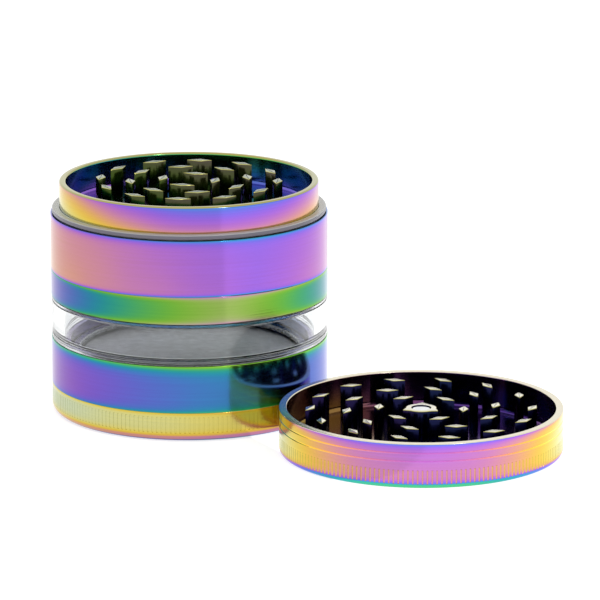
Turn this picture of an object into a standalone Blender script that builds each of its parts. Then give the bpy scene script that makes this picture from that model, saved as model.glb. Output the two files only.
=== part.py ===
"""Hand grinder with four stacked chambers and a clear window, lid lying beside it.

Units are metres, +Z is up. The origin is the centre of the stack's bottom face, and +X points
from the stack's axis to the lid's axis. The lid lies upside down, teeth up, on the same surface.
From the floor up the stack is: base cup, storage body with its screen, clear window between two
seals, threaded collar, and the grinding chamber with its friction ring. Each screwed joint is a
right-hand helical ridge on a neck that runs between the turns of a ridge in a bore.
"""

import math

import bmesh
import bpy
from mathutils import Matrix

# Overall sizes
BODY_RADIUS = 0.0315
BASE_BAND = 0.0064
STORAGE_BAND = 0.0107
SEAL_LOWER_HEIGHT = 0.0009
WINDOW_HEIGHT = 0.0075
SEAL_UPPER_HEIGHT = 0.0004
COLLAR_BAND = 0.0059
CHAMBER_BAND = 0.0126
LIP_HEIGHT = 0.0073
LID_HEIGHT = 0.0100
LID_APART = 0.0010

# Clearances, fillets and facets
GAP = 0.0003
EDGE_CHAMFER = 0.0003
BASE_FILLET = 0.0018
BOWL_FILLET = 0.0015
LID_EDGE_FILLET = 0.0008
SEGMENTS = 48
ARC_STEPS = 3

# Screwed joints
NECK_HEIGHT = 0.0048
NECK_CLEARANCE = 0.0009
NECK_WALL = 0.0022
BORE_WALL = 0.0020
BORE_END_ROOM = 0.0005
THREAD_PITCH = 0.0020
THREAD_DEPTH = 0.0006
THREAD_ROOT_WIDTH = 0.0010
THREAD_CREST_WIDTH = 0.0005
THREAD_TURNS = 1.25
THREAD_END_ROOM = 0.0007
THREAD_BITE = 0.0004
UNSCREW_TURNS = 1.5

# Base cup
BOWL_FLOOR = 0.0016

# Storage body, screen and window seat
SHELF_THICKNESS = 0.0014
SHELF_WIDTH = 0.0049
SCREEN_THICKNESS = 0.0003
RING_THICKNESS = 0.0010
RING_WIDTH = 0.0020
TENON_SETBACK = 0.0003
TENON_WALL = 0.0011
STORAGE_TENON_HEIGHT = 0.0008
COLLAR_TENON_HEIGHT = 0.0010
WINDOW_SETBACK = 0.0001

# Grinding chamber
LIP_SETBACK = 0.00205
LIP_WALL = 0.00155
LIP_ROUND = 0.0004
CHAMBER_DEPTH = 0.0065
CHAMBER_FLOOR_THICKNESS = 0.0020
CHAMBER_FILLET = 0.0008
CHAMBER_LOWER_WALL = 0.0047
CHAMBER_TOOTH_LENGTH = 0.0058
CHAMBER_TOOTH_WIDTH = 0.0023
CHAMBER_TOOTH_DROP = 0.0
DROP_HOLE_RADIUS = 0.0017
DROP_HOLE_SIDES = 10
FRICTION_RING_HEIGHT = 0.0010
FRICTION_RING_WIDTH = 0.0014
FRICTION_RING_ROUND = 0.0004

# Lid
LID_CAP_THICKNESS = 0.0022
LID_SKIRT_WALL = 0.0017
LID_FILLET = 0.0012
LID_TOOTH_LENGTH = 0.0050
LID_TOOTH_WIDTH = 0.0022
LID_TOOTH_DROP = 0.0004
GROOVE_WIDTH = 0.00035
GROOVE_DEPTH = 0.0003
GROOVE_DROPS = (0.0021, 0.0039)
BOSS_RADIUS = 0.0034
BOSS_CUSP_RADIUS = 0.0045
BOSS_CUSP_HALF_ANGLE = math.radians(22.5)
BOSS_DROP = 0.0004

# Magnets
MAGNET_CHAMBER_RADIUS = 0.0025
MAGNET_CHAMBER_THICKNESS = 0.0013
MAGNET_BOSS_WALL = 0.0018
MAGNET_POCKET_FLOOR = 0.0014
MAGNET_LID_RADIUS = 0.0021
MAGNET_LID_THICKNESS = 0.0025
MAGNET_DROP = 0.0002
MAGNET_SIDES = 24

# Rings of teeth and holes: distance in from the body's outside, how many, the first one's angle,
# and how far each is twisted from lying along its ring
CHAMBER_TEETH = (
    (0.0254, 4, math.radians(22.5), 0.0),
    (0.0181, 8, 0.0, 0.0),
    (0.0113, 12, 0.0, 0.0),
)
DROP_HOLES = (
    (0.0218, 6, 0.0, 0.0),
    (0.0147, 10, 0.0, 0.0),
    (0.0076, 14, 0.0, 0.0),
)
LID_TEETH = (
    (0.0221, 6, math.radians(29.4), 0.0),
    (0.0148, 10, math.radians(7.3), math.radians(-25.0)),
    (0.0069, 14, math.radians(9.9), math.radians(-25.0)),
)

# Levels up the stack, each from the one below it
BASE_TOP = BASE_BAND
STORAGE_BOTTOM = BASE_TOP + GAP
STORAGE_TOP = BASE_TOP + STORAGE_BAND
SEAL_LOWER_BOTTOM = STORAGE_TOP + GAP
SEAL_LOWER_TOP = SEAL_LOWER_BOTTOM + SEAL_LOWER_HEIGHT
WINDOW_BOTTOM = SEAL_LOWER_TOP + GAP
WINDOW_TOP = WINDOW_BOTTOM + WINDOW_HEIGHT
SEAL_UPPER_BOTTOM = WINDOW_TOP + GAP
SEAL_UPPER_TOP = SEAL_UPPER_BOTTOM + SEAL_UPPER_HEIGHT
COLLAR_BOTTOM = SEAL_UPPER_TOP + GAP
COLLAR_TOP = COLLAR_BOTTOM + COLLAR_BAND
CHAMBER_BOTTOM = COLLAR_TOP + GAP
CHAMBER_SHOULDER = CHAMBER_BOTTOM + CHAMBER_BAND
LIP_TOP = CHAMBER_SHOULDER + LIP_HEIGHT
CHAMBER_FLOOR = LIP_TOP - CHAMBER_DEPTH
CHAMBER_CEILING = CHAMBER_FLOOR - CHAMBER_FLOOR_THICKNESS

# Radii that follow from the body and from their neighbours
BORE_RADIUS = BODY_RADIUS - BORE_WALL
NECK_RADIUS = BORE_RADIUS - NECK_CLEARANCE
NECK_INNER_RADIUS = NECK_RADIUS - NECK_WALL
SHELF_INNER_RADIUS = BORE_RADIUS - SHELF_WIDTH
TENON_RADIUS = NECK_RADIUS - TENON_SETBACK
LIP_RADIUS = BODY_RADIUS - LIP_SETBACK
CHAMBER_LOWER_RADIUS = BODY_RADIUS - CHAMBER_LOWER_WALL
LID_SKIRT_RADIUS = BODY_RADIUS - LID_SKIRT_WALL
LID_AXIS_X = 2.0 * BODY_RADIUS + LID_APART
BOWL_RADIUS = NECK_INNER_RADIUS
WINDOW_INNER_RADIUS = TENON_RADIUS + GAP
WINDOW_RADIUS = BODY_RADIUS - WINDOW_SETBACK
TENON_INNER_RADIUS = TENON_RADIUS - TENON_WALL
SCREEN_RADIUS = TENON_INNER_RADIUS - GAP
LIP_INNER_RADIUS = LIP_RADIUS - LIP_WALL
LID_FLOOR = LID_CAP_THICKNESS

# The lid swings over on an axis halfway between the two centres, high enough to clear the lip
# with both screwed joints run out
UNSCREW_LIFT = UNSCREW_TURNS * THREAD_PITCH
LID_HOVER_ROOM = 0.0010
LID_HOVER_RIM = LIP_TOP + 2.0 * UNSCREW_LIFT + LID_HOVER_ROOM
SWING_AXIS_X = LID_AXIS_X / 2.0
SWING_AXIS_Z = (LID_HOVER_RIM + LID_HEIGHT) / 2.0

# Finishes: colour, roughness, metallic, alpha
FINISHES = {
    "gold": ((0.72, 0.60, 0.12), 0.28, 1.0, 1.0),
    "blue": ((0.14, 0.22, 0.62), 0.25, 1.0, 1.0),
    "green": ((0.32, 0.62, 0.16), 0.25, 1.0, 1.0),
    "violet": ((0.52, 0.25, 0.68), 0.25, 1.0, 1.0),
    "rose_gold": ((0.80, 0.42, 0.62), 0.28, 1.0, 1.0),
    "steel": ((0.55, 0.56, 0.58), 0.30, 1.0, 1.0),
    "mesh_grey": ((0.38, 0.38, 0.40), 0.50, 1.0, 1.0),
    "magnet_nickel": ((0.80, 0.80, 0.82), 0.20, 1.0, 1.0),
    "clear_window": ((0.93, 0.94, 0.95), 0.05, 0.0, 0.30),
    "clear_seal": ((0.75, 0.76, 0.78), 0.30, 0.0, 0.60),
    "nylon": ((0.62, 0.62, 0.66), 0.35, 0.0, 0.70),
}


def finish(name: str) -> bpy.types.Material:
    """Returns the named finish as a material, made on first use."""
    material = bpy.data.materials.get(name)
    if material:
        return material
    colour, roughness, metallic, alpha = FINISHES[name]
    material = bpy.data.materials.new(name)
    material.use_nodes = True
    shader = material.node_tree.nodes["Principled BSDF"]
    shader.inputs["Base Color"].default_value = (*colour, 1.0)
    shader.inputs["Roughness"].default_value = roughness
    shader.inputs["Metallic"].default_value = metallic
    shader.inputs["Alpha"].default_value = alpha
    return material


def make_object(name: str, mesh: bmesh.types.BMesh, finish_name: str = "") -> bpy.types.Object:
    """Turns a bmesh into a named object with outward faces and smooth round sides."""
    bmesh.ops.recalc_face_normals(mesh, faces=mesh.faces)
    data = bpy.data.meshes.new(name)
    mesh.to_mesh(data)
    mesh.free()
    data.shade_smooth()
    data.set_sharp_from_angle(angle=math.radians(30.0))
    piece = bpy.data.objects.new(name, data)
    bpy.context.scene.collection.objects.link(piece)
    if finish_name:
        data.materials.append(finish(finish_name))
    return piece


def make_guide(name: str, mesh: bmesh.types.BMesh) -> bpy.types.Object:
    """Makes an object that only cuts or joins, and isn't part of the model."""
    guide = make_object(name, mesh)
    guide.hide_render = True
    guide.display_type = "WIRE"
    return guide


def arc(centre: tuple, radius: float, start: float, end: float) -> list:
    """Returns points on an arc in the outline's plane, angles in degrees from outward."""
    points = []
    for step in range(ARC_STEPS + 1):
        angle = math.radians(start + (end - start) * step / ARC_STEPS)
        points.append((centre[0] + radius * math.cos(angle), centre[1] + radius * math.sin(angle)))
    return points


def turned(name: str, outline: list, finish_name: str, segments: int = SEGMENTS) -> bpy.types.Object:
    """Turns a closed outline of (radius, height) points once round Z."""
    mesh = bmesh.new()
    corners = [mesh.verts.new((radius, 0.0, height)) for radius, height in outline]
    edges = []
    for first, second in zip(corners, corners[1:] + corners[:1]):
        if first.co.x > 0.0 or second.co.x > 0.0:
            edges.append(mesh.edges.new((first, second)))
    bmesh.ops.spin(
        mesh, geom=corners + edges, cent=(0.0, 0.0, 0.0), axis=(0.0, 0.0, 1.0),
        angle=2.0 * math.pi, steps=segments, use_merge=True,
    )
    bmesh.ops.remove_doubles(mesh, verts=mesh.verts, dist=1e-6)
    return make_object(name, mesh, finish_name)


def thread_ridge(name: str, root_radius: float, side: int, height: float) -> bpy.types.Object:
    """Makes one helical ridge: side is +1 on a neck and -1 in a bore, height is its first centre."""
    buried = root_radius - side * THREAD_BITE
    crest = root_radius + side * THREAD_DEPTH
    section = (
        (buried, -THREAD_ROOT_WIDTH / 2.0),
        (root_radius, -THREAD_ROOT_WIDTH / 2.0),
        (crest, -THREAD_CREST_WIDTH / 2.0),
        (crest, THREAD_CREST_WIDTH / 2.0),
        (root_radius, THREAD_ROOT_WIDTH / 2.0),
        (buried, THREAD_ROOT_WIDTH / 2.0),
    )
    mesh = bmesh.new()
    corners = [mesh.verts.new((radius, 0.0, height + offset)) for radius, offset in section]
    edges = [mesh.edges.new(pair) for pair in zip(corners, corners[1:] + corners[:1])]
    bmesh.ops.spin(
        mesh, geom=corners + edges, cent=(0.0, 0.0, 0.0), axis=(0.0, 0.0, 1.0),
        dvec=(0.0, 0.0, THREAD_PITCH / SEGMENTS),
        angle=2.0 * math.pi * THREAD_TURNS, steps=round(THREAD_TURNS * SEGMENTS),
    )
    bmesh.ops.remove_doubles(mesh, verts=mesh.verts, dist=1e-6)
    bmesh.ops.holes_fill(mesh, edges=mesh.edges, sides=0)
    return make_guide(name, mesh)


def prism(mesh: bmesh.types.BMesh, outline: list, bottom: float, top: float, place: Matrix) -> None:
    """Adds an upright prism with the given plan outline to a bmesh."""
    corners = [mesh.verts.new((x, y, bottom)) for x, y in outline]
    base = mesh.faces.new(corners)
    grown = bmesh.ops.extrude_face_region(mesh, geom=[base], use_keep_orig=True)
    risen = [item for item in grown["geom"] if isinstance(item, bmesh.types.BMVert)]
    bmesh.ops.translate(mesh, verts=risen, vec=(0.0, 0.0, top - bottom))
    bmesh.ops.transform(mesh, matrix=place, verts=corners + risen)


def circle(radius: float, sides: int) -> list:
    """Returns the plan outline of a regular polygon with that circumradius, a flat towards +X."""
    turns = [2.0 * math.pi * (index + 0.5) / sides for index in range(sides)]
    return [(radius * math.cos(turn), radius * math.sin(turn)) for turn in turns]


def rhombus(length: float, width: float) -> list:
    """Returns the plan outline of a tooth whose long diagonal lies along the ring."""
    return [(width / 2.0, 0.0), (0.0, length / 2.0), (-width / 2.0, 0.0), (0.0, -length / 2.0)]


def around(rings: tuple) -> list:
    """Returns the placing matrix of every member of a set of rings."""
    places = []
    for inset, count, first, twist in rings:
        shift = Matrix.Translation((BODY_RADIUS - inset, 0.0, 0.0)) @ Matrix.Rotation(twist, 4, "Z")
        for index in range(count):
            turn = Matrix.Rotation(first + 2.0 * math.pi * index / count, 4, "Z")
            places.append(turn @ shift)
    return places


def posts(name: str, rings: tuple, outline: list, bottom: float, top: float) -> bpy.types.Object:
    """Makes a guide of equal prisms standing in rings."""
    mesh = bmesh.new()
    for place in around(rings):
        prism(mesh, outline, bottom, top, place)
    return make_guide(name, mesh)


def combine(piece: bpy.types.Object, guide: bpy.types.Object, operation: str) -> None:
    """Joins a guide to a piece, or cuts it away, with a live exact Boolean."""
    modifier = piece.modifiers.new(guide.name, "BOOLEAN")
    modifier.operation = operation
    modifier.solver = "EXACT"
    modifier.object = guide


def neck_outline(bottom: float) -> list:
    """Returns the outer side and rim of a threaded neck that stands on a band's top face."""
    top = bottom + NECK_HEIGHT
    return [
        (NECK_RADIUS, bottom),
        (NECK_RADIUS, top - EDGE_CHAMFER),
        (NECK_RADIUS - EDGE_CHAMFER, top),
        (NECK_INNER_RADIUS, top),
    ]


def band_outline(bottom: float, top: float) -> list:
    """Returns the outer side of a band with both its edges chamfered."""
    return [
        (BODY_RADIUS - EDGE_CHAMFER, bottom),
        (BODY_RADIUS, bottom + EDGE_CHAMFER),
        (BODY_RADIUS, top - EDGE_CHAMFER),
        (BODY_RADIUS - EDGE_CHAMFER, top),
    ]


def neck_thread_height(bottom: float) -> float:
    """Returns the height at +X where a neck's ridge starts."""
    return bottom + THREAD_END_ROOM + THREAD_ROOT_WIDTH / 2.0


def bore_thread_height(bottom: float) -> float:
    """Returns the height at +X where a bore's ridge starts, half a pitch from the neck's."""
    return neck_thread_height(bottom) + THREAD_PITCH / 2.0


def build_base_cup() -> None:
    """Builds the lowest cup, which catches the finest grounds."""
    outline = [(0.0, 0.0)]
    outline += arc((BODY_RADIUS - BASE_FILLET, BASE_FILLET), BASE_FILLET, -90.0, 0.0)
    outline += [(BODY_RADIUS, BASE_TOP - EDGE_CHAMFER), (BODY_RADIUS - EDGE_CHAMFER, BASE_TOP)]
    outline += neck_outline(BASE_TOP)
    outline += arc((BOWL_RADIUS - BOWL_FILLET, BOWL_FLOOR + BOWL_FILLET), BOWL_FILLET, 0.0, -90.0)
    outline += [(0.0, BOWL_FLOOR)]
    cup = turned("base_cup", outline, "gold")
    ridge = thread_ridge("base_neck_thread", NECK_RADIUS, 1, neck_thread_height(BASE_TOP))
    combine(cup, ridge, "UNION")


def build_storage_body() -> None:
    """Builds the blue band: lower bore, screen shelf and the window's seat."""
    bore_end = BASE_TOP + NECK_HEIGHT + BORE_END_ROOM
    shelf_top = bore_end + SHELF_THICKNESS
    tenon_top = STORAGE_TOP + STORAGE_TENON_HEIGHT
    outline = [(BORE_RADIUS, STORAGE_BOTTOM)]
    outline += band_outline(STORAGE_BOTTOM, STORAGE_TOP)
    outline += [
        (TENON_RADIUS, STORAGE_TOP),
        (TENON_RADIUS, tenon_top),
        (TENON_INNER_RADIUS, tenon_top),
        (TENON_INNER_RADIUS, shelf_top),
        (SHELF_INNER_RADIUS, shelf_top),
        (SHELF_INNER_RADIUS, bore_end),
        (BORE_RADIUS, bore_end),
    ]
    body = turned("storage_body", outline, "blue")
    ridge = thread_ridge("storage_bore_thread", BORE_RADIUS, -1, bore_thread_height(BASE_TOP))
    combine(body, ridge, "UNION")

    screen_bottom = shelf_top + GAP
    screen_top = screen_bottom + SCREEN_THICKNESS
    screen = [(0.0, screen_bottom), (SCREEN_RADIUS, screen_bottom), (SCREEN_RADIUS, screen_top)]
    turned("screen_mesh", screen + [(0.0, screen_top)], "mesh_grey")

    ring_bottom = screen_top + GAP
    ring_top = ring_bottom + RING_THICKNESS
    ring = [
        (SCREEN_RADIUS - RING_WIDTH, ring_bottom),
        (SCREEN_RADIUS, ring_bottom),
        (SCREEN_RADIUS, ring_top - EDGE_CHAMFER),
        (SCREEN_RADIUS - EDGE_CHAMFER, ring_top),
        (SCREEN_RADIUS - RING_WIDTH + EDGE_CHAMFER, ring_top),
        (SCREEN_RADIUS - RING_WIDTH, ring_top - EDGE_CHAMFER),
    ]
    turned("screen_retaining_ring", ring, "steel")


def build_window() -> None:
    """Builds the clear window and the two seals that it is bedded between."""
    layers = (
        ("window_lower_seal", SEAL_LOWER_BOTTOM, SEAL_LOWER_TOP, "clear_seal"),
        ("window_ring", WINDOW_BOTTOM, WINDOW_TOP, "clear_window"),
        ("window_upper_seal", SEAL_UPPER_BOTTOM, SEAL_UPPER_TOP, "clear_seal"),
    )
    for name, bottom, top, finish_name in layers:
        outline = [
            (WINDOW_INNER_RADIUS, bottom),
            (WINDOW_RADIUS, bottom),
            (WINDOW_RADIUS, top),
            (WINDOW_INNER_RADIUS, top),
        ]
        turned(name, outline, finish_name)


def build_upper_collar() -> None:
    """Builds the green band that caps the window and carries the upper neck."""
    tenon_bottom = COLLAR_BOTTOM - COLLAR_TENON_HEIGHT
    outline = [
        (NECK_INNER_RADIUS, tenon_bottom),
        (TENON_RADIUS, tenon_bottom),
        (TENON_RADIUS, COLLAR_BOTTOM),
    ]
    outline += band_outline(COLLAR_BOTTOM, COLLAR_TOP)
    outline += neck_outline(COLLAR_TOP)
    collar = turned("upper_collar", outline, "green")
    ridge = thread_ridge("collar_neck_thread", NECK_RADIUS, 1, neck_thread_height(COLLAR_TOP))
    combine(collar, ridge, "UNION")


def build_grinding_chamber() -> None:
    """Builds the main band: upper bore, toothed floor with drop holes, lip and magnet pocket."""
    bore_end = COLLAR_TOP + NECK_HEIGHT + BORE_END_ROOM
    pocket_radius = MAGNET_CHAMBER_RADIUS + GAP
    magnet_top = CHAMBER_FLOOR - MAGNET_DROP
    magnet_bottom = magnet_top - MAGNET_CHAMBER_THICKNESS
    pocket_bottom = magnet_bottom - GAP
    hub_bottom = pocket_bottom - MAGNET_POCKET_FLOOR
    hub_radius = pocket_radius + MAGNET_BOSS_WALL
    fillet_centre = (LIP_INNER_RADIUS - CHAMBER_FILLET, CHAMBER_FLOOR + CHAMBER_FILLET)
    outline = [(BORE_RADIUS, CHAMBER_BOTTOM)]
    outline += band_outline(CHAMBER_BOTTOM, CHAMBER_SHOULDER)
    outline += [
        (LIP_RADIUS, CHAMBER_SHOULDER),
        (LIP_RADIUS, LIP_TOP - LIP_ROUND),
        (LIP_RADIUS - LIP_ROUND, LIP_TOP),
        (LIP_INNER_RADIUS + LIP_ROUND, LIP_TOP),
        (LIP_INNER_RADIUS, LIP_TOP - LIP_ROUND),
    ]
    outline += arc(fillet_centre, CHAMBER_FILLET, 0.0, -90.0)
    outline += [
        (pocket_radius, CHAMBER_FLOOR),
        (pocket_radius, pocket_bottom),
        (0.0, pocket_bottom),
        (0.0, hub_bottom),
        (hub_radius, hub_bottom),
        (hub_radius, CHAMBER_CEILING),
        (CHAMBER_LOWER_RADIUS, CHAMBER_CEILING),
        (CHAMBER_LOWER_RADIUS, bore_end),
        (BORE_RADIUS, bore_end),
    ]
    chamber = turned("grinding_chamber", outline, "violet")
    ridge = thread_ridge("chamber_bore_thread", BORE_RADIUS, -1, bore_thread_height(COLLAR_TOP))
    holes = posts(
        "drop_holes", DROP_HOLES, circle(DROP_HOLE_RADIUS, DROP_HOLE_SIDES),
        CHAMBER_CEILING - GAP, CHAMBER_FLOOR + GAP,
    )
    teeth = posts(
        "chamber_teeth", CHAMBER_TEETH, rhombus(CHAMBER_TOOTH_LENGTH, CHAMBER_TOOTH_WIDTH),
        CHAMBER_FLOOR - GAP, LIP_TOP - CHAMBER_TOOTH_DROP,
    )
    combine(chamber, ridge, "UNION")
    combine(chamber, holes, "DIFFERENCE")
    combine(chamber, teeth, "UNION")

    magnet = [
        (0.0, magnet_bottom),
        (MAGNET_CHAMBER_RADIUS, magnet_bottom),
        (MAGNET_CHAMBER_RADIUS, magnet_top),
        (0.0, magnet_top),
    ]
    turned("chamber_magnet", magnet, "magnet_nickel", MAGNET_SIDES)

    ring_inner = LIP_RADIUS + GAP
    ring_outer = ring_inner + FRICTION_RING_WIDTH
    ring_bottom = CHAMBER_SHOULDER + GAP
    ring_top = ring_bottom + FRICTION_RING_HEIGHT
    ring = [(ring_inner, ring_bottom), (ring_outer, ring_bottom)]
    round_centre = (ring_outer - FRICTION_RING_ROUND, ring_top - FRICTION_RING_ROUND)
    ring += arc(round_centre, FRICTION_RING_ROUND, 0.0, 90.0)
    turned("friction_ring", ring + [(ring_inner, ring_top)], "nylon")


def boss_outline() -> list:
    """Returns the lid boss in plan: a round post drawn out into three pointed cusps."""
    points = []
    for cusp in range(3):
        middle = 2.0 * math.pi * cusp / 3.0
        points.append((BOSS_CUSP_RADIUS, middle))
        span = 2.0 * math.pi / 3.0 - 2.0 * BOSS_CUSP_HALF_ANGLE
        for step in range(6):
            points.append((BOSS_RADIUS, middle + BOSS_CUSP_HALF_ANGLE + span * step / 5.0))
    return [(radius * math.cos(turn), radius * math.sin(turn)) for radius, turn in points]


def build_lid(swing: bpy.types.Object) -> None:
    """Builds the lid and its magnet, upside down on the surface beside the stack."""
    boss_top = LID_HEIGHT - BOSS_DROP
    magnet_top = boss_top - MAGNET_DROP
    magnet_bottom = magnet_top - MAGNET_LID_THICKNESS
    pocket_bottom = magnet_bottom - GAP
    edge_centre = (BODY_RADIUS - LID_EDGE_FILLET, LID_EDGE_FILLET)
    outline = [(0.0, 0.0)]
    outline += arc(edge_centre, LID_EDGE_FILLET, -90.0, 0.0)
    for drop in reversed(GROOVE_DROPS):
        middle = LID_HEIGHT - drop
        outline += [
            (BODY_RADIUS, middle - GROOVE_WIDTH / 2.0),
            (BODY_RADIUS - GROOVE_DEPTH, middle),
            (BODY_RADIUS, middle + GROOVE_WIDTH / 2.0),
        ]
    outline += [
        (BODY_RADIUS, LID_HEIGHT - EDGE_CHAMFER),
        (BODY_RADIUS - EDGE_CHAMFER, LID_HEIGHT),
        (LID_SKIRT_RADIUS + EDGE_CHAMFER, LID_HEIGHT),
        (LID_SKIRT_RADIUS, LID_HEIGHT - EDGE_CHAMFER),
    ]
    outline += arc((LID_SKIRT_RADIUS - LID_FILLET, LID_FLOOR + LID_FILLET), LID_FILLET, 0.0, -90.0)
    outline += [(0.0, LID_FLOOR)]
    lid = turned("lid", outline, "rose_gold")

    teeth = posts(
        "lid_teeth", LID_TEETH, rhombus(LID_TOOTH_LENGTH, LID_TOOTH_WIDTH),
        LID_FLOOR - GAP, LID_HEIGHT - LID_TOOTH_DROP,
    )
    boss_mesh = bmesh.new()
    prism(boss_mesh, boss_outline(), LID_FLOOR - GAP, boss_top, Matrix.Identity(4))
    boss = make_guide("lid_boss", boss_mesh)
    pocket_mesh = bmesh.new()
    pocket_outline = circle(MAGNET_LID_RADIUS + GAP, MAGNET_SIDES)
    prism(pocket_mesh, pocket_outline, pocket_bottom, boss_top + GAP, Matrix.Identity(4))
    pocket = make_guide("lid_magnet_pocket", pocket_mesh)
    combine(lid, teeth, "UNION")
    combine(lid, boss, "UNION")
    combine(lid, pocket, "DIFFERENCE")

    magnet_outline = [
        (0.0, magnet_bottom),
        (MAGNET_LID_RADIUS, magnet_bottom),
        (MAGNET_LID_RADIUS, magnet_top),
        (0.0, magnet_top),
    ]
    magnet = turned("lid_magnet", magnet_outline, "magnet_nickel", MAGNET_SIDES)
    for piece in (lid, teeth, boss, pocket, magnet):
        piece.parent = swing
        piece.location = (LID_AXIS_X - SWING_AXIS_X, 0.0, -SWING_AXIS_Z)


def build_swing() -> bpy.types.Object:
    """Places the empty that marks the axis on which the lid is carried over the stack."""
    swing = bpy.data.objects.new("lid_swing_axis", None)
    bpy.context.scene.collection.objects.link(swing)
    swing.location = (SWING_AXIS_X, 0.0, SWING_AXIS_Z)
    return swing


def main() -> None:
    """Clears the scene and builds every piece."""
    for item in list(bpy.data.objects):
        bpy.data.objects.remove(item)
    build_base_cup()
    build_storage_body()
    build_window()
    build_upper_collar()
    build_grinding_chamber()
    build_lid(build_swing())


main()
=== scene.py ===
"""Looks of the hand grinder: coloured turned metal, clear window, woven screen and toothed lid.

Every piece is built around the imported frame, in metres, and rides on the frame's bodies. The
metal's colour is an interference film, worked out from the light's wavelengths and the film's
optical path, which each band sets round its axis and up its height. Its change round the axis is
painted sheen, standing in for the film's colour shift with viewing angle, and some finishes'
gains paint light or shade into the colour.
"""

import logging
import math
from collections.abc import Callable
from dataclasses import dataclass, field

import bmesh
import bpy
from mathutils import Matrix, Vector


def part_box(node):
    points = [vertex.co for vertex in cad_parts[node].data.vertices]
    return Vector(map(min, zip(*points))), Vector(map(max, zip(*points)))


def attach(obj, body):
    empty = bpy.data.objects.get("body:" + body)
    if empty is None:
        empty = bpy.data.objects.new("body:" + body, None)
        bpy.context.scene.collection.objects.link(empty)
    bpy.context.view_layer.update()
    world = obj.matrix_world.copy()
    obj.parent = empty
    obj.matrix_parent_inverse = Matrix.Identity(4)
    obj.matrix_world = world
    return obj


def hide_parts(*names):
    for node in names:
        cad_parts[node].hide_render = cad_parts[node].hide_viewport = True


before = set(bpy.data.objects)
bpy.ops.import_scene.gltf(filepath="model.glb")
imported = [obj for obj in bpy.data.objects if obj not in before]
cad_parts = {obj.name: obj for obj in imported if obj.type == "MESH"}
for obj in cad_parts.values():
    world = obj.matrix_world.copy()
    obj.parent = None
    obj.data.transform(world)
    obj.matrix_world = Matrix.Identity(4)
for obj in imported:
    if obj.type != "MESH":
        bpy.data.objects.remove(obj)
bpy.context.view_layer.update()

LOG = logging.getLogger("grinder")

MM = 0.001
WELD = 1e-6
TURN = 2.0 * math.pi

# Which way the bands' painted sheen and the sweep's painted pool of light face, round the stack's
# axis
PAINTED_LIGHT_FACING = math.radians(35.6)

# Noise scales in repeats a metre; turning lines run round a band, so they change with height
TURNING_LINES = (30.0, 30.0, 2600.0)
SOFT_PATCHES = (60.0, 60.0, 60.0)
FINE_GRAIN = (2600.0, 2600.0, 2600.0)

# The frame's clearance between pieces, and half the rise of one turn of a thread
PIECE_GAP = 0.3 * MM
HALF_PITCH = 1.0 * MM

# Small sizes of bands, teeth, boss and flutes
SKIRT_DROP = 0.15 * MM
TOOTH_ROOT = 0.2 * MM
TIP_BAND = 0.3 * MM
CORNER_BEVEL = 0.10 * MM
TIP_BEVEL = 0.11 * MM
BOSS_BEVEL = 0.12 * MM
SLOT_INSET = 0.03 * MM

# How far up a normal has to point to be on a flat tip, or on the softened edge round it
FLAT_TIP = 0.95
STEEP_SIDE = 0.1

# Steps round an axis
FINE_SEGMENTS = 192
MAGNET_SEGMENTS = 64
FLUTES = 188
FLUTE_COLUMNS = 3
BOSS_SIDES = 48

Outline = list[tuple[float, float]]
Test = Callable[[Vector, Vector], bool]
Rings = tuple[tuple[float, int, float, float], ...]
Paints = dict[str, bpy.types.Material]


# Shader graphs


class Value:
    """A socket in a shader graph, with arithmetic that adds Math nodes."""

    def __init__(self, graph: "Graph", socket: bpy.types.NodeSocket) -> None:
        """Wraps one output socket."""
        self.graph = graph
        self.socket = socket

    def _math(self, operation: str, first: object, second: object = None) -> "Value":
        """Adds one Math node."""
        values = {0: first} if second is None else {0: first, 1: second}
        return self.graph.node("ShaderNodeMath", {"operation": operation}, values)

    def __add__(self, other: object) -> "Value":
        """Adds."""
        return self._math("ADD", self, other)

    __radd__ = __add__

    def __mul__(self, other: object) -> "Value":
        """Multiplies."""
        return self._math("MULTIPLY", self, other)

    __rmul__ = __mul__

    def __sub__(self, other: object) -> "Value":
        """Subtracts."""
        return self._math("SUBTRACT", self, other)

    def __rsub__(self, other: object) -> "Value":
        """Subtracts from a number."""
        return self._math("SUBTRACT", other, self)

    def __truediv__(self, other: object) -> "Value":
        """Divides."""
        return self._math("DIVIDE", self, other)

    def __pow__(self, power: float) -> "Value":
        """Raises to a power."""
        return self._math("POWER", self, power)

    def cosine(self) -> "Value":
        """Takes the cosine of an angle in radians."""
        return self._math("COSINE", self)

    def exp(self) -> "Value":
        """Raises e to this value."""
        return self._math("EXPONENT", self)

    def root(self) -> "Value":
        """Takes the square root."""
        return self._math("SQRT", self)

    def lowest(self, other: object) -> "Value":
        """Takes the smaller of two values."""
        return self._math("MINIMUM", self, other)

    def highest(self, other: object) -> "Value":
        """Takes the larger of two values."""
        return self._math("MAXIMUM", self, other)

    def over(self, edge: float) -> "Value":
        """Gives 1 where the value is over an edge, and 0 elsewhere."""
        return self._math("GREATER_THAN", self, edge)


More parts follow.
